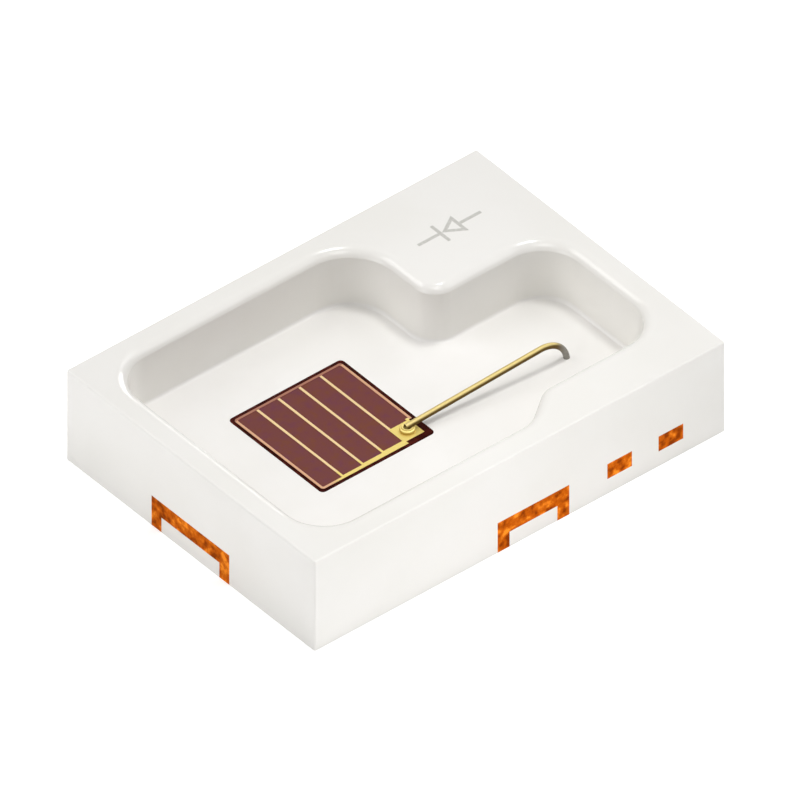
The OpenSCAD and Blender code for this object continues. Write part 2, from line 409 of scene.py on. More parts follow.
@dataclass(frozen=True)
class CarrierDark(CloudedFinish):
    """Near-black red carrier of the chip, scored where it was diced."""

    name: str = "chip_carrier"
    colour: Colour = (44, 8, 5)
    cloud: Colour = (76, 24, 17)
    cloud_size: float = 0.05
    cloud_range: Range = (0.35, 0.7)
    roughness: Range = (0.5, 0.5)
    grain: float = 0.004
    relief: Relief = (0.0008, 0.4)
    gloss: float = 0.04
    score_stretch: Sequence[float] = (1, 1, 12)

    def pattern(self, bench: Bench) -> Socket:
        """Gives the height pattern of the score lines."""
        return bench.noise(self.grain, 2, self.score_stretch)


@dataclass(frozen=True)
class LeadCopper:
    """Copper of the leads: mottled where it is sawn, plated with matt tin on the solder pads."""

    dark: Colour = (126, 48, 3)
    middle: Colour = (178, 82, 8)
    bright: Colour = (226, 132, 36)
    glance: Colour = (255, 225, 195)
    tin: Colour = (196, 195, 190)
    tin_shade: Colour = (166, 165, 160)
    mottle_size: float = 0.045
    dark_range: Range = (0.34, 0.52)
    bright_range: Range = (0.52, 0.7)
    roughness: Range = (0.5, 0.36)
    tin_grain: float = 0.018
    tin_range: Range = (0.35, 0.65)
    saw_line: float = 0.006
    saw_stretch: Sequence[float] = (20, 20, 1)
    saw_share: float = 0.5
    relief: Relief = (0.002, 0.5)
    plate_skin: float = 0.002

    def build(self) -> bpy.types.Material:
        """Makes the material.

        Returns:
            The material.
        """
        bench = Bench.material("lead_copper")
        _, _, z = bench.split(bench.place)
        plated = bench.math("LESS_THAN", z, self.plate_skin * MM)
        mottle = bench.noise(self.mottle_size, 4)
        copper = bench.mix(bench.between(mottle, *self.dark_range), self.dark, self.middle)
        copper = bench.mix(bench.between(mottle, *self.bright_range), copper, self.bright)
        tin_spots = bench.between(bench.noise(self.tin_grain), *self.tin_range)
        tin = bench.mix(tin_spots, self.tin_shade, self.tin)
        saw = bench.noise(self.saw_line, 2, self.saw_stretch)
        relief = bench.math("ADD", bench.math("MULTIPLY", saw, self.saw_share), mottle)
        return bench.shade(
            Base_Color=bench.mix(plated, copper, tin),
            Metallic=1.0,
            Specular_Tint=linear(self.glance),
            Roughness=bench.between(mottle, *NOISE_RANGE, *self.roughness),
            Normal=bench.bump(relief, *self.relief),
        )


@dataclass(frozen=True)
class AttachMetal:
    """Dull grey metal that holds the chip."""

    colour: Colour = (122, 120, 118)
    shade: Colour = (96, 95, 94)
    grain: float = 0.015
    relief: Relief = (0.001, 0.5)

    def build(self) -> bpy.types.Material:
        """Makes the material.

        Returns:
            The material.
        """
        bench = Bench.material("attach_metal")
        grain = bench.noise(self.grain)
        return bench.shade(
            Base_Color=bench.mix(grain, self.shade, self.colour),
            Metallic=0.9,
            Roughness=0.5,
            Normal=bench.bump(grain, *self.relief),
        )


@dataclass(frozen=True)
class EmitterPlum:
    """Light-emitting layer: plum, roughened, with faint shifts to brown and violet."""

    colour: Colour = (113, 64, 61)
    brown: Colour = (115, 66, 53)
    violet: Colour = (109, 61, 70)
    shift_size: float = 0.05
    brown_range: Range = (0.3, 0.5)
    violet_range: Range = (0.52, 0.72)
    grain: float = 0.004
    relief: Relief = (0.0006, 0.5)

    def build(self) -> bpy.types.Material:
        """Makes the material.

        Returns:
            The material.
        """
        bench = Bench.material("emitter")
        shift = bench.noise(self.shift_size)
        plum = bench.mix(bench.between(shift, *self.brown_range), self.brown, self.colour)
        plum = bench.mix(bench.between(shift, *self.violet_range), plum, self.violet)
        return bench.shade(
            Base_Color=plum,
            Roughness=0.55,
            Specular_IOR_Level=0.06,
            Normal=bench.bump(bench.noise(self.grain), *self.relief),
        )


@dataclass(frozen=True)
class ContactGold:
    """Gold of the contacts: deep yellow at the pad and its bar, pale on the fingers, pink on the ring.

    A fade is given as two distances: where its colour is full, and where it has gone.
    """

    pad: Colour = (246, 222, 128)
    finger: Colour = (250, 220, 164)
    ring: Colour = (226, 176, 138)
    north_ring: Colour = (178, 122, 100)
    line_fade: Range = (0.014, 0.0182)
    ring_end_fade: Range = (0.1, 0.15)
    bar_fade: Range = (0.05, 0.08)
    bar_start_fade: Range = (0.15, 0.05)
    pad_fade: Range = (0.088, 0.1012)
    grain: float = 0.01
    roughness: Range = (0.3, 0.42)
    relief: Relief = (0.0006, 0.5)

    def build(self) -> bpy.types.Material:
        """Makes the material.

        Returns:
            The material.
        """
        bench = Bench.material("contact_gold")
        x, y, _ = bench.split(bench.place)

        def fade(value: Socket, edge: float, span: Range, way: int = 1) -> Socket:
            """Gives 1 at the first distance from an edge and 0 at the second, one way along an axis."""
            full, gone = ((edge + way * distance) * MM for distance in span)
            return bench.between(value, gone, full)

        low, high = node_box("emitter_layer")
        sides = bench.math("MAXIMUM", fade(x, low.x, self.line_fade), fade(x, high.x, self.line_fade, -1))
        south = bench.math("MULTIPLY", fade(y, low.y, self.line_fade), fade(x, low.x, self.ring_end_fade))
        north = fade(y, high.y, self.line_fade, -1)
        bar = bench.math("MULTIPLY", fade(y, low.y, self.bar_fade), fade(x, low.x, self.bar_start_fade))
        bump_low, bump_high = node_box("bond_bump")
        away = bench.add("ShaderNodeVectorMath", operation="DISTANCE")
        bench.feed(away, 0, bench.place)
        bench.feed(away, 1, (bump_low + bump_high) / 2 * MM)
        pad = fade(away.outputs["Value"], 0, self.pad_fade)
        gold = bench.mix(bench.math("MAXIMUM", sides, south), self.finger, self.ring)
        gold = bench.mix(north, gold, self.north_ring)
        gold = bench.mix(bench.math("MAXIMUM", bar, pad), gold, self.pad)
        grain = bench.noise(self.grain)
        return bench.shade(
            Base_Color=gold,
            Metallic=0.5,
            Roughness=bench.between(grain, *NOISE_RANGE, *self.roughness),
            Normal=bench.bump(grain, *self.relief),
        )


@dataclass(frozen=True)
class WireGold:
    """Drawn gold of the wire and its balls, with painted shade: brown where it faces down, and grey where
    it lands in the casting.
    """

    name: str = "wire_gold"
    # Colour where the surface faces up; lower down it turns to the painted shade.
    colour: Colour = (204, 185, 122)
    # Painted shade: the colour where the surface faces down.
    painted_underside_shade: Colour = (104, 80, 30)
    # Painted shade: grey where the wire goes into the casting, between these X positions in millimetres.
    painted_landing_shade: Colour = (146, 143, 136)
    landing_shade_x: Range = (0.84, 0.905)
    # Painted shade gives way to the lit colour as the normal's Z climbs over this range.
    shade_to_lit_range: Range = (0.42, 0.82)
    draw_line: float = 0.004
    draw_stretch: Sequence[float] = (20, 1, 1)
    roughness: Range = (0.52, 0.6)
    relief: Relief = (0.0005, 0.4)

    def build(self) -> bpy.types.Material:
        """Makes the material.

        Returns:
            The material.
        """
        bench = Bench.material(self.name)
        _, _, facing_up = bench.split(bench.add("ShaderNodeNewGeometry").outputs["Normal"])
        x, _, _ = bench.split(bench.place)
        # Painted shade: grey at the landing end of the wire.
        landing_shade = bench.between(x, *(edge * MM for edge in self.landing_shade_x))
        # Painted shade: darker where the normal faces down, lighter where it faces up.
        painted_lit_share = bench.between(facing_up, *self.shade_to_lit_range)
        gold = bench.mix(painted_lit_share, self.painted_underside_shade, self.colour)
        lines = bench.noise(self.draw_line, 2, self.draw_stretch)
        return bench.shade(
            Base_Color=bench.mix(landing_shade, gold, self.painted_landing_shade),
            Metallic=0.6,
            Roughness=bench.between(lines, *NOISE_RANGE, *self.roughness),
            Normal=bench.bump(lines, *self.relief),
        )


def new_mesh(name: str, bm: BMesh) -> bpy.types.Mesh:
    """Makes a mesh.

    Args:
        name: Its name.
        bm: What it is made of. It is used up.

    Returns:
        The mesh.
    """
    mesh = bpy.data.meshes.new(name)
    bm.to_mesh(mesh)
    bm.free()
    return mesh


def add_object(name: str, data: bpy.types.ID) -> bpy.types.Object:
    """Makes an object and puts it in the scene.

    Args:
        name: Its name.
        data: Its mesh, lamp or camera.

    Returns:
        The object.
    """
    made = bpy.data.objects.new(name, data)
    bpy.context.scene.collection.objects.link(made)
    return made


def clear_away(scratch: bpy.types.Object) -> None:
    """Removes a scratch object and its mesh.

    Args:
        scratch: The object.
    """
    mesh = scratch.data
    bpy.data.objects.remove(scratch)
    bpy.data.meshes.remove(mesh)


def node_copy(name: str) -> BMesh:
    """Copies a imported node's mesh, with its loose triangles joined and without its stored normals.

    Args:
        name: The node.

    Returns:
        The mesh in millimetres.
    """
    source = NODE[name].data.copy()
    stored = source.attributes.get("custom_normal")
    if stored:
        source.attributes.remove(stored)
    bm = bmesh.new()
    bm.from_mesh(source)
    bpy.data.meshes.remove(source)
    bmesh.ops.scale(bm, vec=(1 / MM,) * 3, verts=bm.verts)
    bmesh.ops.remove_doubles(bm, verts=bm.verts, dist=NODE_WELD)
    return bm


def carve(bm: BMesh, cutters: Sequence[str]) -> BMesh:
    """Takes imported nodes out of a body, so that each sits in a pocket of its own form.

    Args:
        bm: The body in millimetres. It is used up.
        cutters: Names of the nodes.

    Returns:
        The carved body.
    """
    body = add_object("carving", new_mesh("carving", bm))
    scratch = [body]
    for name in cutters:
        cutter = add_object("cutter", new_mesh("cutter", node_copy(name)))
        scratch.append(cutter)
        modifier = body.modifiers.new(name, "BOOLEAN")
        modifier.operation = "DIFFERENCE"
        modifier.solver = "EXACT"
        modifier.object = cutter
    carved = bmesh.new()
    carved.from_object(body, bpy.context.evaluated_depsgraph_get())
    for made in scratch:
        clear_away(made)
    bmesh.ops.remove_doubles(carved, verts=carved.verts, dist=CARVED_WELD)
    return carved


def soften(bm: BMesh, radius: float, segments: int = 2) -> None:
    """Rounds the creases of a copied node a little.

    Args:
        bm: The mesh in millimetres.
        radius: Size of the rounding.
        segments: Faces across the rounding.
    """
    bmesh.ops.dissolve_limit(bm, angle_limit=FLAT, verts=bm.verts, edges=bm.edges)
    creases = [e for e in bm.edges if e.is_manifold and e.calc_face_angle() > CREASE]
    bmesh.ops.bevel(
        bm, geom=creases, offset=radius, offset_type="OFFSET", segments=segments,
        profile=0.5, affect="EDGES", material=-1, clamp_overlap=True,
    )


def even_mesh(name: str, bm: BMesh) -> bpy.types.Mesh:
    """Turns a mesh to metres, shaded so that its large faces stay flat beside their roundings.

    The normals are weighted while the mesh is a million times as large, because the modifier
    leaves out faces of very small area.

    Args:
        name: Name of the mesh.
        bm: What it is made of, in millimetres. It is used up.

    Returns:
        The mesh in metres.
    """
    grow = 1000.0
    bmesh.ops.scale(bm, vec=(grow,) * 3, verts=bm.verts)
    bm.normal_update()
    for face in bm.faces:
        face.smooth = True
    for edge in bm.edges:
        edge.smooth = edge.is_manifold and edge.calc_face_angle() < CREASE
    scratch = add_object("large", new_mesh("large", bm))
    scratch.modifiers.new("even normals", "WEIGHTED_NORMAL").keep_sharp = True
    view = bpy.context.evaluated_depsgraph_get()
    evened = scratch.evaluated_get(view)
    mesh = bpy.data.meshes.new_from_object(evened, preserve_all_data_layers=True, depsgraph=view)
    clear_away(scratch)
    mesh.name = name
    mesh.transform(Matrix.Scale(MM / grow, 4))
    return mesh


def place_piece(
    name: str, bm: BMesh, material: bpy.types.Material, stands_for: Sequence[str] = ()
) -> None:
    """Makes a finished piece of a mesh and lets it ride on the body.

    Args:
        name: Name of the piece.
        bm: Its mesh in millimetres, in its place. It is used up.
        material: Its finish.
        stands_for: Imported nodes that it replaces.
    """
    mesh = even_mesh(name, bm)
    mesh.materials.append(material)
    piece = add_object(name, mesh)
    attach(piece, BODY)
    if stands_for:
        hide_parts(*stands_for)
    log.info("%s: %d faces", name, len(mesh.polygons))


def dress_node(name: str, material: bpy.types.Material) -> None:
    """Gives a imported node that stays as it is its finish.

    Args:
        name: The node.
        material: Its finish.
    """
    for place in NODE[name].material_slots:
        place.material = material
    log.info("%s: packed solid with a new finish", name)


class Pen:
    """Draws a line of straight runs and arcs in a mesh, on the level of its start."""

    def __init__(self, bm: BMesh, start: Vector, heading: float, step: float) -> None:
        """Puts the pen down.

        Args:
            bm: The mesh that it draws in.
            start: First point.
            heading: Way it points, in radians from +X.
            step: Angle between the points of an arc.
        """
        self.bm = bm
        self.heading = heading
        self.step = step
        self.tip: BMVert = bm.verts.new(start)
        self.old_edges = set(bm.edges)
        self.old_verts = set(bm.verts) - {self.tip}

    def run(self, length: float) -> None:
        """Draws straight on.

        Args:
            length: How far.
        """
        made = bmesh.ops.extrude_vert_indiv(self.bm, verts=[self.tip])
        self.tip = made["verts"][0]
        ahead = Vector((math.cos(self.heading), math.sin(self.heading), 0))
        bmesh.ops.translate(self.bm, verts=[self.tip], vec=ahead * length)

    def arc(self, radius: float, turn: float) -> None:
        """Draws an arc.

        Args:
            radius: Its radius.
            turn: How far the pen turns, to the left if it is positive.
        """
        left = Vector((-math.sin(self.heading), math.cos(self.heading), 0))
        centre = self.tip.co + left * math.copysign(radius, turn)
        made = bmesh.ops.spin(
            self.bm, geom=[self.tip], cent=centre, axis=(0, 0, 1), angle=turn,
            steps=max(2, round(abs(turn) / self.step)), use_merge=False, use_duplicate=False,
        )
        self.tip = made["geom_last"][0]
        self.heading += turn

    def close(self) -> list[BMEdge]:
        """Joins the end to the start.

        Returns:
            The edges of the closed line.
        """
        drawn = [v for v in self.bm.verts if v not in self.old_verts]
        bmesh.ops.remove_doubles(self.bm, verts=drawn, dist=LINE_WELD)
        return [e for e in self.bm.edges if e not in self.old_edges]


@dataclass
class CavityPlan:
    """Plan of the cavity at its mouth. Every ring of its wall runs parallel to it."""

    rim_west: float = 0.16
    rim_north: float = 0.145
    rim_east: float = 0.145
    rim_south: float = 0.165
    shelf_l: float = 0.925
    shelf_w: float = 0.75
    ledge_l: float = 0.9
    ledge_w: float = 0.325
    corner_r: float = 0.24
    shelf_corner_r: float = 0.29
    nose_r: float = 0.13
    bend_turn: float = math.atan2(3, 4)
    draft: float = math.radians(4.5)
    arc_step: float = math.radians(3.75)

    def __post_init__(self) -> None:
        """Works out the wall lines from the package's box."""
        low, high = node_box("housing")
        self.mouth_z = high.z
        self.west = low.x + self.rim_west
        self.north = high.y - self.rim_north
        self.east = high.x - self.rim_east
        self.south = low.y + self.rim_south
        self.step_x = high.x - self.shelf_l
        self.shelf_y = high.y - self.shelf_w
        self.ledge_x = high.x - self.ledge_l
        self.ledge_y = low.y + self.ledge_w
        arcs = self.corner_r + self.nose_r
        sine, cosine = math.sin(self.bend_turn), math.cos(self.bend_turn)
        self.bend_l = (self.ledge_y - self.south - arcs * (1 - cosine)) / sine
        self.bend_x = self.ledge_x - arcs * sine - self.bend_l * cosine

    def inset_at(self, z: float) -> float:
        """Distance of the sloping wall at a height, inwards from its line at the mouth."""
        return (self.mouth_z - z) * math.tan(self.draft)

    def ring(self, bm: BMesh, inset: float, z: float) -> list[BMEdge]:
        """Draws a ring parallel to the mouth, clockwise from the south end of the west wall.

        Args:
            bm: The mesh to draw in.
            inset: Distance inwards from the mouth.
            z: Height of the ring.

        Returns:
            Its edges.
        """
        hollow = self.corner_r - inset
        nose = self.nose_r + inset
        r = self.corner_r
        s = self.shelf_corner_r
        right = math.radians(-90)
        pen = Pen(bm, Vector((self.west + inset, self.south + r, z)), math.radians(90), self.arc_step)
        path = (
            (self.north - self.south - 2 * r, hollow, right),
            (self.step_x - self.west - r - s, s - inset, right),
            (self.north - s - self.shelf_y - self.nose_r, nose, -right),
            (self.east - r - self.step_x - self.nose_r, hollow, right),
            (self.shelf_y - self.ledge_y - 2 * r, hollow, right),
            (self.east - r - self.ledge_x, nose, self.bend_turn),
            (self.bend_l, hollow, -self.bend_turn),
            (self.bend_x - self.west - r, hollow, right),
        )
        for length, radius, turn in path:
            pen.run(length)
            pen.arc(radius, turn)
        return pen.close()


def step_in(bm: BMesh, face: BMFace, inwards: float, down: float) -> None:
    """Draws a wall from the edge of a level face to a smaller, parallel edge below it.

    Args:
        bm: The mesh.
        face: The face, which ends up inside the new wall.
        inwards: Distance of the new edge from the old one in plan.
        down: How much lower it lies.
    """
    bmesh.ops.inset_region(
        bm, faces=[face], use_boundary=True, use_even_offset=True, thickness=inwards, depth=-down
    )


def fill_ring(bm: BMesh, ring: Sequence[BMEdge]) -> BMFace:
    """Closes a ring with one face.

    Args:
        bm: The mesh.
        ring: Edges of the ring.

    Returns:
        The face.
    """
    return bmesh.ops.contextual_create(bm, geom=list(ring))["faces"][0]


def arc_steps(radius: float, start: float, end: float, segments: int) -> list[tuple[float, float]]:
    """Splits an arc into straight steps.

    Args:
        radius: Its radius.
        start: Its first angle.
        end: Its last angle.
        segments: Number of steps.

    Returns:
        For each step, how much the sine grows and how much the cosine shrinks, times the radius.
    """
    angles = [start + (end - start) * i / segments for i in range(segments + 1)]
    sines = [radius * math.sin(angle) for angle in angles]
    cosines = [radius * math.cos(angle) for angle in angles]
    return [(sines[i + 1] - sines[i], cosines[i] - cosines[i + 1]) for i in range(segments)]


@dataclass
class Package:
    """The white package: the moulding with its cavity, and the cast floor."""

    plan: CavityPlan = field(default_factory=CavityPlan)
    lip_r: float = 0.075
    lip_angle: float = math.radians(65)
    lip_segments: int = 13
    edge_r: float = 0.012
    edge_segments: int = 3
    meniscus_r: float = 0.02
    meniscus_segments: int = 6

    def build(self) -> None:
        """Makes the moulding and the floor."""
        place_piece(
            "moulded_housing", self.housing_mesh(), MouldedWhite().build(), ["housing"]
        )
        place_piece(
            "cast_floor", self.floor_mesh(), CastWhite().build(), ["floor_casting"]
        )

    def open_block(self, bm: BMesh) -> list[BMEdge]:
        """Makes the outer block with softened edges and no top.

        Args:
            bm: The mesh to make it in.

        Returns:
            Edges round the open top.
        """
        low, high = node_box("housing")
        size = Matrix.Diagonal((*(high - low), 1))
        bmesh.ops.create_cube(bm, size=1, matrix=Matrix.Translation((low + high) / 2) @ size)
        softened = [e for e in bm.edges if max(v.co.z for v in e.verts) > high.z / 2]
        bmesh.ops.bevel(
            bm, geom=softened, offset=self.edge_r, offset_type="OFFSET", segments=self.edge_segments,
            profile=0.5, affect="EDGES", material=-1,
        )
        top = max(bm.faces, key=lambda face: face.calc_center_median().z)
        rim = list(top.edges)
        bmesh.ops.delete(bm, geom=[top], context="FACES_ONLY")
        return rim

    def housing_mesh(self) -> BMesh:
        """Makes the moulding: block, cavity with rounded lip, and the pockets of the leads.

        Returns:
            The mesh in millimetres.
        """
        bm = bmesh.new()
        rim = self.open_block(bm)
        plan = self.plan
        lip_depth = self.lip_r * (1 - math.cos(self.lip_angle))
        lip_start = self.lip_r * math.sin(self.lip_angle) - lip_depth * math.tan(plan.draft)
        ring = plan.ring(bm, -lip_start, plan.mouth_z)
        bmesh.ops.triangle_fill(bm, use_beauty=True, edges=rim + ring, normal=(0, 0, 1))
        inside = fill_ring(bm, ring)
        bmesh.ops.recalc_face_normals(bm, faces=bm.faces)
        for inwards, down in arc_steps(self.lip_r, 0, self.lip_angle, self.lip_segments):
            step_in(bm, inside, inwards, down)
        depth = plan.mouth_z - lip_depth - node_box("floor_casting")[0].z
        step_in(bm, inside, depth * math.tan(plan.draft), depth)
        bmesh.ops.recalc_face_normals(bm, faces=bm.faces)
        return carve(bm, ["die_lead", "wire_lead"])

    def floor_mesh(self) -> BMesh:
        """Makes the cast floor, which climbs the wall a little and leaves room for chip and wire.

        Returns:
            The mesh in millimetres.
        """
        bm = bmesh.new()
        low, high = node_box("floor_casting")
        plan = self.plan
        brim = plan.ring(bm, plan.inset_at(high.z), high.z)
        underside = fill_ring(bm, brim)
        if underside.normal.z < 0:
            underside.normal_flip()
        height = high.z - low.z
        step_in(bm, underside, height * math.tan(plan.draft), height)
        floor = fill_ring(bm, [e for e in bm.edges if e.is_boundary])
        bmesh.ops.recalc_face_normals(bm, faces=bm.faces)
        level = math.pi / 2
        for down, inwards in arc_steps(self.meniscus_r, plan.draft, level, self.meniscus_segments):
            step_in(bm, floor, inwards, down)
        bmesh.ops.recalc_face_normals(bm, faces=bm.faces)
        return carve(bm, ["die_attach", "chip_carrier", "bond_wire"])


@dataclass
class Leads:
    """The two copper leads and the metal under the chip, which keep their packed form."""

    def build(self) -> None:
        """Dresses the leads and the metal under the chip."""
        copper = LeadCopper().build()
        for name in ("die_lead", "wire_lead"):
            dress_node(name, copper)
        dress_node("die_attach", AttachMetal().build())


@dataclass
class Chip:
    """The light-emitting chip: carrier, emitting layer and contact metal."""

    carrier_edge: float = 0.002
    emitter_edge: float = 0.001
    contact_edge: float = 0.0007

    def build(self) -> None:
        """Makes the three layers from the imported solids, with softened edges."""
        layers = (
            ("diced_carrier", "chip_carrier", self.carrier_edge, CarrierDark(), Slot.CARRIER),
            ("emitting_layer", "emitter_layer", self.emitter_edge, EmitterPlum(), Slot.EMITTER),
            ("contact_lines", "contact_grid", self.contact_edge, ContactGold(), Slot.CONTACT),
        )
        for name, node, edge, finish, slot in layers:
            bm = node_copy(node)
            soften(bm, edge)
            place_piece(name, bm, finish.build(), [node])


@dataclass
class BondWire:
    """The gold wire from the bump on the chip to its ball on the wire lead.

    The steps of the rounded tip are in radii of the wire, and the rims of a ball in its heights.
    """

    wire_d: float = 0.034
    wire_sides: int = 24
    loop_r: float = 0.15
    loop_segments: int = 32
    drop_angle: float = math.radians(80)
    tip_l: float = 0.012
    tip_insets: tuple[float, ...] = (0.072, 0.18, 0.36)
    tip_step: float = 0.3
    ball_sides: int = 48
    ball_rim: float = 0.49
    ball_segments: int = 6
    collar_r: float = 0.034
    collar_w: float = 0.012
    collar_h: float = 0.004
    collar_foot: float = 0.0002
    crater_depth: float = 0.008
    # The bump is paler, with a lighter painted shade where it faces down.
    bump_gold: WireGold = WireGold("bump_gold", colour=(242, 222, 140), painted_underside_shade=(206, 178, 92))
    wire_gold: WireGold = WireGold()

    def __post_init__(self) -> None:
        """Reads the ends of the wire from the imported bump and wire."""
        low, high = node_box("bond_bump")
        middle = (low + high) / 2
        self.bump = Vector((middle.x, middle.y, low.z))
        self.ball_d = high.x - low.x
        self.ball_h = high.z - low.z
        self.bump_top = high.z
        low, high = node_box("bond_wire")
        self.landing = Vector((high.x - self.ball_d / 2, low.y + self.ball_d / 2, low.z))
        self.loop_z = high.z - self.wire_d / 2 - self.loop_r
        plan = (self.landing - self.bump).to_2d()
        self.span = plan.length
        self.heading = math.atan2(plan.y, plan.x)

    def build(self) -> None:
        """Makes the bump and the wire."""
        bump = bmesh.new()
        self.flat_ball(bump, self.bump)
        self.collar(bump)
        place_piece("ball_bump", bump, self.bump_gold.build(), ["bond_bump"])
        place_piece("looped_wire", self.wire_mesh(), self.wire_gold.build(), ["bond_wire"])

    def flat_ball(self, bm: BMesh, foot: Vector) -> None:
        """Makes a ball pressed flat between its foot and its top.

        Args:
            bm: The empty mesh to make it in.
            foot: Middle of its underside.
        """
        middle = foot + Vector((0, 0, self.ball_h / 2))
        radius = self.ball_d / 2
        bmesh.ops.create_cone(
            bm, cap_ends=True, segments=self.ball_sides, radius1=radius, radius2=radius,
            depth=self.ball_h, matrix=Matrix.Translation(middle),
        )
        rims = [e for face in bm.faces if len(face.edges) == self.ball_sides for e in face.edges]
        bmesh.ops.bevel(
            bm, geom=rims, offset=self.ball_h * self.ball_rim, offset_type="OFFSET",
            segments=self.ball_segments, profile=0.5, affect="EDGES", material=-1,
        )

    def collar(self, bm: BMesh) -> None:
        """Raises the ring that the bonding tool leaves on a ball, with a crater in its middle.

        Args:
            bm: The mesh of the ball.
        """
        top = max(bm.faces, key=lambda face: face.calc_center_median().z)
        top.normal_update()
        ball_top_r = (self.ball_d - self.ball_h) / 2
        edge = self.collar_h / 2
        step_in(bm, top, max(ball_top_r - self.collar_r, self.collar_foot), 0)
        step_in(bm, top, edge, -self.collar_h)
        step_in(bm, top, self.collar_w - 2 * edge, 0)
        step_in(bm, top, edge, self.crater_depth)

    def wire_mesh(self) -> BMesh:
        """Makes the wire: ball, sloping drop, bend, and the straight stretch down to the bump.

        Returns:
            The mesh in millimetres.
        """
        bm = bmesh.new()
        self.flat_ball(bm, Vector((0, 0, self.landing.z)))
        wire_r = self.wire_d / 2
        start_z = self.bump_top + wire_r / 2
        drop_z = self.landing.z + self.ball_h / 2
        fall = self.loop_z - drop_z
        sine, cosine = math.sin(self.drop_angle), math.cos(self.drop_angle)
        loop_back = (fall * cosine + self.loop_r) / sine
        drop = loop_back * cosine + fall * sine
        run = self.span - loop_back
        rise = self.loop_z - start_z
        reach = math.hypot(run, rise)
        climb = math.atan2(rise, run) + math.asin(self.loop_r / reach)
        stretch = math.sqrt(reach ** 2 - self.loop_r ** 2)
        lean = Matrix.Rotation(self.drop_angle - math.pi / 2, 4, "Y")
        made = bmesh.ops.create_circle(
            bm, cap_ends=True, segments=self.wire_sides, radius=wire_r,
            matrix=Matrix.Translation((0, 0, drop_z)) @ lean,
        )
        ring = list({e for v in made["verts"] for e in v.link_edges})
        ring = self.drawn_on(bm, ring, Vector((-cosine, 0, sine)) * drop)
        bent = bmesh.ops.spin(
            bm, geom=ring, cent=(-loop_back, 0, self.loop_z), axis=(0, -1, 0), steps=self.loop_segments,
            angle=self.drop_angle + climb, use_merge=False, use_duplicate=False,
        )
        ring = [e for e in bent["geom_last"] if isinstance(e, BMEdge)]
        down = Vector((-math.cos(climb), 0, -math.sin(climb)))
        ring = self.drawn_on(bm, ring, down * (stretch + self.tip_l))
        end = fill_ring(bm, ring)
        for inset in self.tip_insets:
            depth = wire_r * self.tip_step
            bmesh.ops.inset_region(bm, faces=[end], thickness=wire_r * inset, depth=depth)
        bmesh.ops.recalc_face_normals(bm, faces=bm.faces)
        turn = Matrix.Rotation(self.heading, 4, "Z")
        seat = Matrix.Translation((self.landing.x, self.landing.y, 0))
        bmesh.ops.transform(bm, matrix=seat @ turn, verts=bm.verts)
        return bm

    @staticmethod
    def drawn_on(bm: BMesh, ring: Sequence[BMEdge], move: Vector) -> list[BMEdge]:
        """Draws a ring of edges on into a tube.

        Args:
            bm: The mesh.
            ring: The edges.
            move: How far and which way.

        Returns:
            The edges at the new end.
        """
        made = bmesh.ops.extrude_edge_only(bm, edges=list(ring))["geom"]
        ends = {g for g in made if isinstance(g, BMVert)}
        bmesh.ops.translate(bm, verts=list(ends), vec=move)
        return [g for g in made if isinstance(g, BMEdge) and set(g.verts) <= ends]


@dataclass
class PolarityMark:
    """A plain diode sign in thin laser lines on the shelf."""

    centre_x: float = 0.86
    centre_y: float = 0.6
    stroke_w: float = 0.02
    stroke_h: float = 0.0006
    sign_l: float = 0.42
    sign_w: float = 0.15
    arrow_l: float = 0.14

    def build(self) -> None:
        """Makes the sign: two leads, a bar and the outline of a triangle, none of which overlap."""
        bm = bmesh.new()
        half_arrow = self.arrow_l / 2
        half_sign = self.sign_l / 2
        half_w = self.sign_w / 2
        half_line = self.stroke_w / 2
        bar_end = -half_arrow + self.stroke_w
        strokes = (
            (-half_sign, -half_arrow, half_line),
            (-half_arrow, bar_end, half_w),
            (half_arrow, half_sign, half_line),
        )
        for west, east, half in strokes:
            self.patch(bm, [(west, -half), (east, -half), (east, half), (west, half)])
        triangle = self.patch(bm, [(bar_end, 0), (half_arrow, -half_w), (half_arrow, half_w)])
        step_in(bm, triangle, self.stroke_w, 0)
        bmesh.ops.delete(bm, geom=[triangle], context="FACES_ONLY")
        made = bmesh.ops.extrude_face_region(bm, geom=list(bm.faces))["geom"]
        raised = [g for g in made if isinstance(g, BMVert)]
        bmesh.ops.translate(bm, verts=raised, vec=(0, 0, self.stroke_h))
        bmesh.ops.recalc_face_normals(bm, faces=bm.faces)
        foot = node_box("housing")[1].z - self.stroke_h / 2
        bmesh.ops.translate(bm, verts=bm.verts, vec=(self.centre_x, self.centre_y, foot))
        place_piece("diode_sign", bm, MarkGrey().build())

    @staticmethod
    def patch(bm: BMesh, corners: Sequence[tuple[float, float]]) -> BMFace:
        """Makes a flat face.

        Args:
            bm: The mesh to make it in.
            corners: Its corners round the middle of the sign.

        Returns:
            The face.
        """
        face = bm.faces.new([bm.verts.new((x, y, 0)) for x, y in corners])
        face.normal_update()
        return face


@dataclass(frozen=True)
class FarLamp:
    """A wide soft lamp far from the object, in degrees. Azimuth is 0 at -Y and 90 at +X.

    A lamp that is shine_only shows in reflections and doesn't light the surfaces.
    """

    name: str
    azimuth: float
    elevation: float
    strength: float
    softness: float = 30
    shine_only: bool = False


@dataclass(frozen=True)
class NearLamp:
    """A round soft lamp near the object, in millimetres, with its share of full white at its aim."""

    name: str
    place: tuple[float, float, float]
    aim: tuple[float, float, float]
    share: float
    width: float


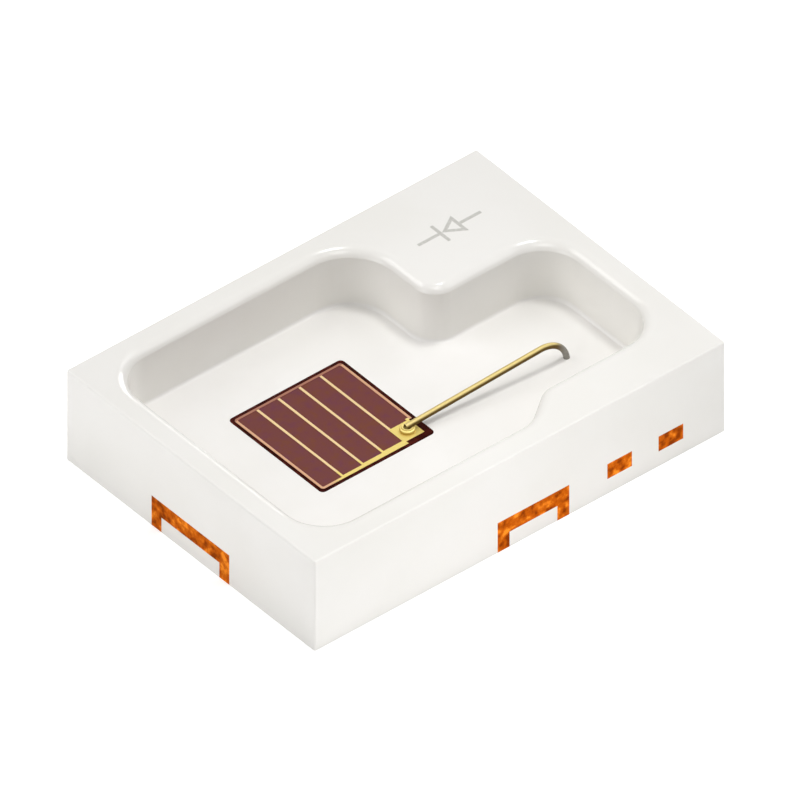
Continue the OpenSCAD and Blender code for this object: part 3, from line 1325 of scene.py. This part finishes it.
@dataclass
class Studio:
    """White floor, soft light and the camera."""

    azimuth: float = -39.8
    elevation: float = 40.25
    pixels_per_mm: float = 194.3
    image_side: float = 800
    left_of_middle: float = 4.35
    camera_distance: float = 30
    camera_reach: float = 300
    floor_side: float = 400
    floor_drop: float = 0.0005
    floor_grey: float = 0.85
    floor_glow: float = 0.58
    sky: float = 0.2
    mirrored_sky: float = 0.6
    far_lamps: tuple[FarLamp, ...] = (
        FarLamp("overhead", 95, 75, 0.98, 11),
        FarLamp("left_behind", 225, 45, 0.69),
        FarLamp("right", 90, 45, 0.42),
        FarLamp("right_front", 45, 45, 0.36),
        FarLamp("low_left", 270, 20, 0.52),
        FarLamp("low_right", 114, 18, 1.0, 26, True),
    )
    near_lamps: tuple[NearLamp, ...] = (
        NearLamp("over_the_front", (0, -0.9, 3.6), (0, -0.9, 0.6), 0.25, 1.6),
        NearLamp("before_south", (-0.6, -5, 0.3), (-0.6, -1, 0.3), 0.37, 0.6),
        NearLamp("before_west", (-5.375, 0.8, 0.3), (-1.375, 0.8, 0.3), 0.16, 0.6),
    )

    def build(self) -> None:
        """Makes floor, world, lamps and camera."""
        self.floor()
        self.world()
        for lamp in self.far_lamps:
            self.far_lamp(lamp)
        for lamp in self.near_lamps:
            self.near_lamp(lamp)
        self.camera()
        bpy.context.scene.view_settings.view_transform = "Standard"
        log.info("studio: floor, world, lamps and camera")

    def floor(self) -> None:
        """Makes the floor, which keeps the shadow and shows white to the camera and in reflections."""
        bm = bmesh.new()
        bmesh.ops.create_grid(bm, x_segments=1, y_segments=1, size=self.floor_side / 2 * MM)
        bmesh.ops.translate(bm, verts=bm.verts, vec=(0, 0, -self.floor_drop * MM))
        mesh = new_mesh("studio_floor", bm)
        bench = Bench.material("studio_floor")
        diffuse = bench.add("ShaderNodeBsdfDiffuse")
        bench.feed(diffuse, "Color", (*(self.floor_grey,) * 3, 1))
        path = bench.add("ShaderNodeLightPath")
        seen = bench.math("MAXIMUM", path.outputs["Is Camera Ray"], path.outputs["Is Glossy Ray"])
        glow = bench.add("ShaderNodeEmission")
        bench.feed(glow, "Strength", bench.math("MULTIPLY", seen, self.floor_glow))
        both = bench.add("ShaderNodeAddShader")
        bench.feed(both, 0, diffuse.outputs["BSDF"])
        bench.feed(both, 1, glow.outputs["Emission"])
        bench.end(both.outputs["Shader"])
        mesh.materials.append(bench.owner)
        add_object("studio_floor", mesh)

    def world(self) -> None:
        """Makes the even light of the room, brighter in reflections and white to the camera."""
        world = bpy.data.worlds.new("studio")
        bpy.context.scene.world = world
        bench = Bench(world)
        path = bench.add("ShaderNodeLightPath")
        light = bench.between(path.outputs["Is Glossy Ray"], 0, 1, self.sky, self.mirrored_sky)
        background = bench.add("ShaderNodeBackground")
        bench.feed(background, "Color", (1, 1, 1, 1))
        bench.feed(background, "Strength", bench.math("MAXIMUM", path.outputs["Is Camera Ray"], light))
        bench.end(background.outputs["Background"], "World")

    @staticmethod
    def direction(azimuth: float, elevation: float) -> Vector:
        """Gives the way from the object to a place round it.

        Args:
            azimuth: Degrees round the object, 0 at -Y and 90 at +X.
            elevation: Degrees above the floor.

        Returns:
            A unit vector.
        """
        a, e = math.radians(azimuth), math.radians(elevation)
        return Vector((math.sin(a) * math.cos(e), -math.cos(a) * math.cos(e), math.sin(e)))

    @staticmethod
    def set_up(data: bpy.types.ID, place: Vector, look: Vector) -> bpy.types.Object:
        """Puts a lamp or the camera in its place.

        Args:
            data: The lamp or camera, which also gives the name.
            place: Where it stands, in metres.
            look: The way it points.

        Returns:
            The object.
        """
        made = add_object(data.name, data)
        made.rotation_mode = "QUATERNION"
        made.rotation_quaternion = look.to_track_quat("-Z", "Y")
        made.location = place
        return made

    def far_lamp(self, lamp: FarLamp) -> None:
        """Makes a wide soft lamp far from the object.

        Args:
            lamp: What it is like.
        """
        data = bpy.data.lights.new(lamp.name, "SUN")
        data.energy = lamp.strength
        data.angle = math.radians(lamp.softness)
        towards = self.direction(lamp.azimuth, lamp.elevation)
        made = self.set_up(data, towards * self.camera_distance * MM, -towards)
        made.visible_diffuse = not lamp.shine_only

    def near_lamp(self, lamp: NearLamp) -> None:
        """Makes a round soft lamp near the object, whose light at its aim is its share of pi.

        Args:
            lamp: What it is like.
        """
        place, aim = Vector(lamp.place), Vector(lamp.aim)
        data = bpy.data.lights.new(lamp.name, "AREA")
        data.shape = "DISK"
        data.size = lamp.width * MM
        data.energy = (math.pi * (aim - place).length * MM) ** 2 * lamp.share
        self.set_up(data, place * MM, aim - place)

    def camera(self) -> None:
        """Makes the camera, a parallel view that is aimed a little beside the object's middle."""
        data = bpy.data.cameras.new("camera")
        data.type = "ORTHO"
        data.ortho_scale = self.image_side / self.pixels_per_mm * MM
        data.clip_start = MM
        data.clip_end = self.camera_reach * MM
        back = self.direction(self.azimuth, self.elevation)
        low, high = cad_bounds
        right = (-back).to_track_quat("-Z", "Y") @ Vector((1, 0, 0))
        aim = (low + high) / 2 + right * (self.left_of_middle / self.pixels_per_mm * MM)
        camera = self.set_up(data, aim + back * self.camera_distance * MM, -back)
        bpy.context.scene.camera = camera


def main() -> None:
    """Builds the sub-assemblies and the studio in order."""
    logging.basicConfig(level=logging.INFO, format="%(name)s %(message)s")
    for part in (Package(), Leads(), Chip(), BondWire(), PolarityMark(), Studio()):
        part.build()


if __name__ == "__main__":
    main()
